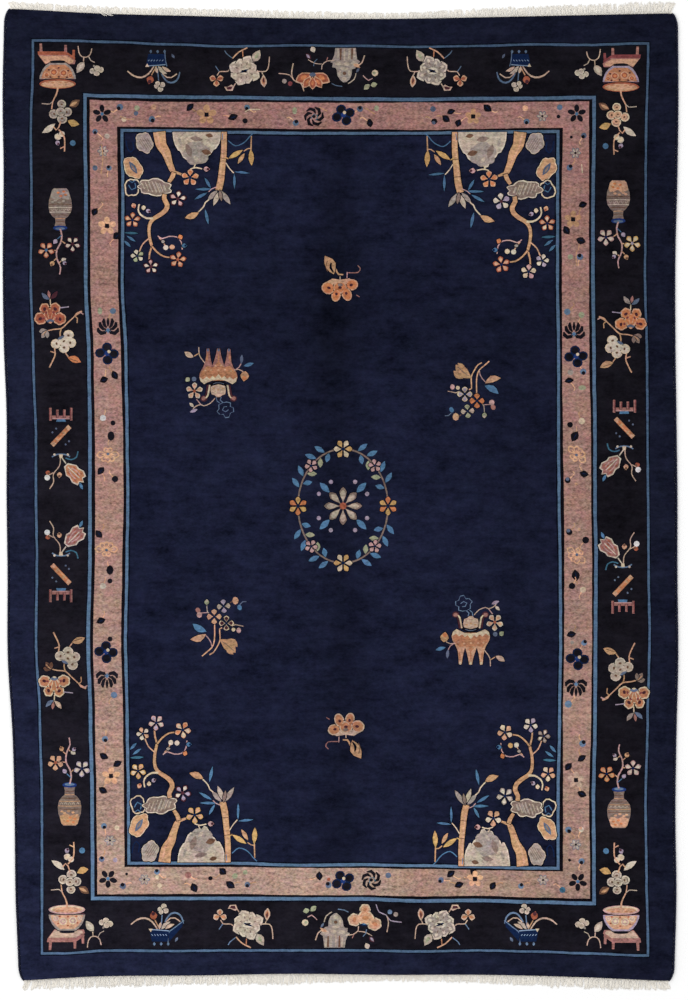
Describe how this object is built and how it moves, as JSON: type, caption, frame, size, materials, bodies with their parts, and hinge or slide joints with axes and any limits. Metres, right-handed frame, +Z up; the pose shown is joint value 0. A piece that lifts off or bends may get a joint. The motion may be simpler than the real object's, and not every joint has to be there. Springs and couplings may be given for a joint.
{
  "type": "peking rug",
  "caption": "Flat rectangular hand-knotted wool rug with an overcast edge along each side and a short cotton fringe at each end, laid on a floor.",
  "frame": {"origin": "middle of the underside, on the floor", "axes": "+X across the width, +Y along the length to the end whose corners are squarest, +Z up out of the pile"},
  "size_m": [2.0307, 2.97, 0.0125],
  "materials": {
    "pile_wool": "dense cut wool pile in navy with borders and motifs in rose, camel, rust, blues and ivory",
    "edge_wool": "navy wool yarn wrapped close around the side cords",
    "fringe_cotton": "unbleached cotton warp ends, matt and a little fluffy"
  },
  "bodies": {
    "root": {"rug_body": "pile_wool", "overcast_left": "edge_wool", "overcast_right": "edge_wool", "fringe_top": "fringe_cotton", "fringe_bottom": "fringe_cotton"}
  },
  "joints": []
}
